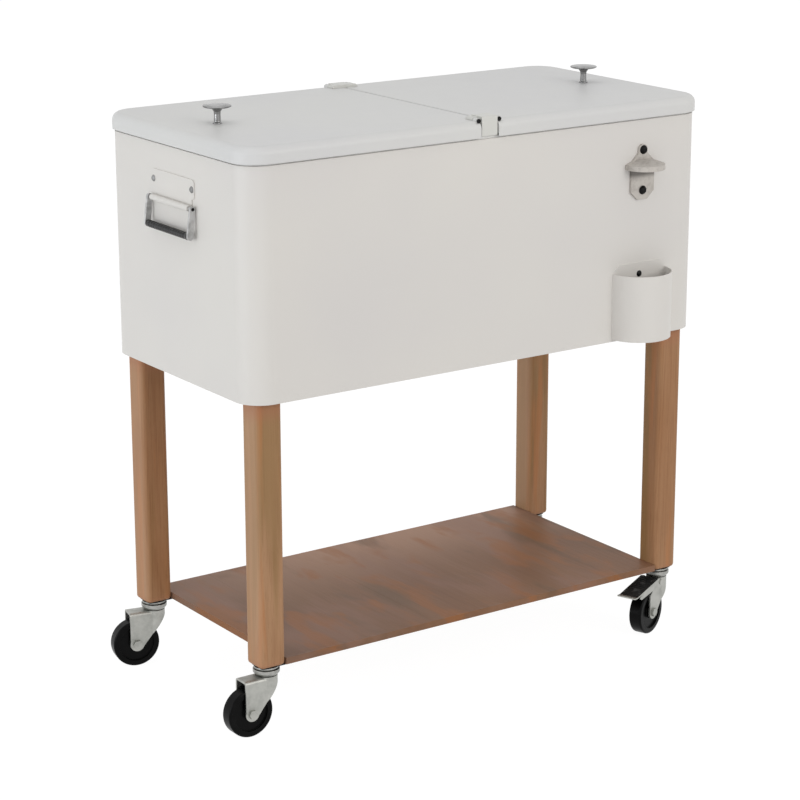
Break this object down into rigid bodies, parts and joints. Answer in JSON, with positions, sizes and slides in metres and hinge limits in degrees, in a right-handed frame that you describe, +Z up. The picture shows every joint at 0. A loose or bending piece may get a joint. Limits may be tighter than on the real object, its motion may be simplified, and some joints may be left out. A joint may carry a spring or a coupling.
{
  "type": "patio cooler cart",
  "caption": "Insulated steel patio cooler with split hinged lids on a wooden-legged rolling stand with shelf, side handles, bottle opener and cap catcher.",
  "frame": {"origin": "on the floor in the middle of the footprint, which reaches from the front left wheel to the right handle and from the cap catcher to the back edge of the lids", "axes": "+Z up, X along the cabinet, -Y is the front with the bottle opener, so +X is to the right of someone facing the front"},
  "size_m": [0.8461, 0.4466, 0.8765],
  "materials": {
    "cream_paint": "satin",
    "tank_plastic": "satin",
    "foam": "matte",
    "leg_wood": "satin",
    "shelf_wood": "satin",
    "dark_steel": "satin",
    "zinc": "satin",
    "cast_zinc": "matte",
    "chrome": "polished",
    "grip_plastic": "matte",
    "gasket_rubber": "matte",
    "wheel_plastic": "satin",
    "pedal_steel": "satin"
  },
  "bodies": {
    "cabinet": {"outer_shell": "cream_paint", "tank_liner": "tank_plastic", "foam_core": "foam", "base_panel": "cream_paint", "center_rail": "cream_paint", "front_hinge_block": "cream_paint", "back_hinge_block": "cream_paint", "hinge_pins": "dark_steel", "drain_spout": "tank_plastic", "drain_nut": "tank_plastic", "front_left_leg": "leg_wood", "front_right_leg": "leg_wood", "back_left_leg": "leg_wood", "back_right_leg": "leg_wood", "leg_brackets": "dark_steel", "leg_bolts": "zinc", "shelf": "shelf_wood", "corner_plates": "dark_steel", "plate_screws": "dark_steel", "left_handle_plate": "cream_paint", "right_handle_plate": "cream_paint", "handle_screws": "zinc", "bottle_opener": "cast_zinc", "opener_screws": "dark_steel", "cap_catcher": "cream_paint", "catcher_screw": "dark_steel", "caster_stems": "zinc", "swivel_balls": "chrome"},
    "left_lid": {"left_lid_skin": "cream_paint", "left_lid_foam": "foam", "left_lid_liner": "tank_plastic", "left_lid_gasket": "gasket_rubber", "left_knob": "chrome", "left_knob_bolt": "zinc"},
    "left_handle": {"left_bail": "chrome", "left_grip": "grip_plastic"},
    "right_lid": {"right_lid_skin": "cream_paint", "right_lid_foam": "foam", "right_lid_liner": "tank_plastic", "right_lid_gasket": "gasket_rubber", "right_knob": "chrome", "right_knob_bolt": "zinc"},
    "right_handle": {"right_bail": "chrome", "right_grip": "grip_plastic"},
    "drain_cap": {"drain_cap": "grip_plastic"},
    "front_left_caster": {"front_left_fork": "zinc", "front_left_axle": "zinc"},
    "front_left_wheel": {"front_left_wheel": "wheel_plastic"},
    "front_right_caster": {"front_right_fork": "zinc", "front_right_axle": "zinc"},
    "front_right_wheel": {"front_right_wheel": "wheel_plastic"},
    "front_right_brake": {"front_right_brake_pedal": "pedal_steel"},
    "back_left_caster": {"back_left_fork": "zinc", "back_left_axle": "zinc"},
    "back_left_wheel": {"back_left_wheel": "wheel_plastic"},
    "back_right_caster": {"back_right_fork": "zinc", "back_right_axle": "zinc"},
    "back_right_wheel": {"back_right_wheel": "wheel_plastic"},
    "back_right_brake": {"back_right_brake_pedal": "pedal_steel"}
  },
  "joints": [
    {"name": "left_lid_hinge", "type": "hinge", "parent": "cabinet", "child": "left_lid", "pos_m": [-0.01103, 0.02325, 0.8495], "axis": [0, 1, 0], "range_deg": [0, 85]},
    {"name": "right_lid_hinge", "type": "hinge", "parent": "cabinet", "child": "right_lid", "pos_m": [0.02498, 0.02325, 0.8495], "axis": [0, -1, 0], "range_deg": [0, 85]},
    {"name": "left_handle_swing", "type": "hinge", "parent": "cabinet", "child": "left_handle", "pos_m": [-0.39853, 0.02325, 0.746], "axis": [0, 1, 0], "range_deg": [0, 95]},
    {"name": "right_handle_swing", "type": "hinge", "parent": "cabinet", "child": "right_handle", "pos_m": [0.41247, 0.02325, 0.746], "axis": [0, -1, 0], "range_deg": [0, 95]},
    {"name": "drain_cap_turn", "type": "hinge", "parent": "cabinet", "child": "drain_cap", "pos_m": [0.25698, 0.11325, 0.472], "axis": [0, 0, 1], "continuous": true},
    {"name": "front_left_swivel", "type": "hinge", "parent": "cabinet", "child": "front_left_caster", "pos_m": [-0.35497, -0.1392, 0.088], "axis": [0, 0, 1], "continuous": true},
    {"name": "front_left_wheel_spin", "type": "hinge", "parent": "front_left_caster", "child": "front_left_wheel", "pos_m": [-0.38698, -0.1392, 0.036], "axis": [0, -1, 0], "continuous": true},
    {"name": "front_right_swivel", "type": "hinge", "parent": "cabinet", "child": "front_right_caster", "pos_m": [0.36893, -0.1392, 0.088], "axis": [0, 0, 1], "continuous": true},
    {"name": "front_right_wheel_spin", "type": "hinge", "parent": "front_right_caster", "child": "front_right_wheel", "pos_m": [0.33905, -0.15067, 0.036], "axis": [0.3584, -0.9336, 0], "continuous": true},
    {"name": "front_right_brake_press", "type": "hinge", "parent": "front_right_caster", "child": "front_right_brake", "pos_m": [0.35585, -0.14422, 0.081], "axis": [0.3584, -0.9336, 0], "range_deg": [0, 12]},
    {"name": "back_left_swivel", "type": "hinge", "parent": "cabinet", "child": "back_left_caster", "pos_m": [-0.35497, 0.1857, 0.088], "axis": [0, 0, 1], "continuous": true},
    {"name": "back_left_wheel_spin", "type": "hinge", "parent": "back_left_caster", "child": "back_left_wheel", "pos_m": [-0.38628, 0.19235, 0.036], "axis": [-0.2079, -0.9781, 0], "continuous": true},
    {"name": "back_right_swivel", "type": "hinge", "parent": "cabinet", "child": "back_right_caster", "pos_m": [0.36893, 0.1857, 0.088], "axis": [0, 0, 1], "continuous": true},
    {"name": "back_right_wheel_spin", "type": "hinge", "parent": "back_right_caster", "child": "back_right_wheel", "pos_m": [0.33741, 0.18014, 0.036], "axis": [0.1736, -0.9848, 0], "continuous": true},
    {"name": "back_right_brake_press", "type": "hinge", "parent": "back_right_caster", "child": "back_right_brake", "pos_m": [0.35514, 0.18327, 0.081], "axis": [0.1736, -0.9848, 0], "range_deg": [0, 12]}
  ]
}
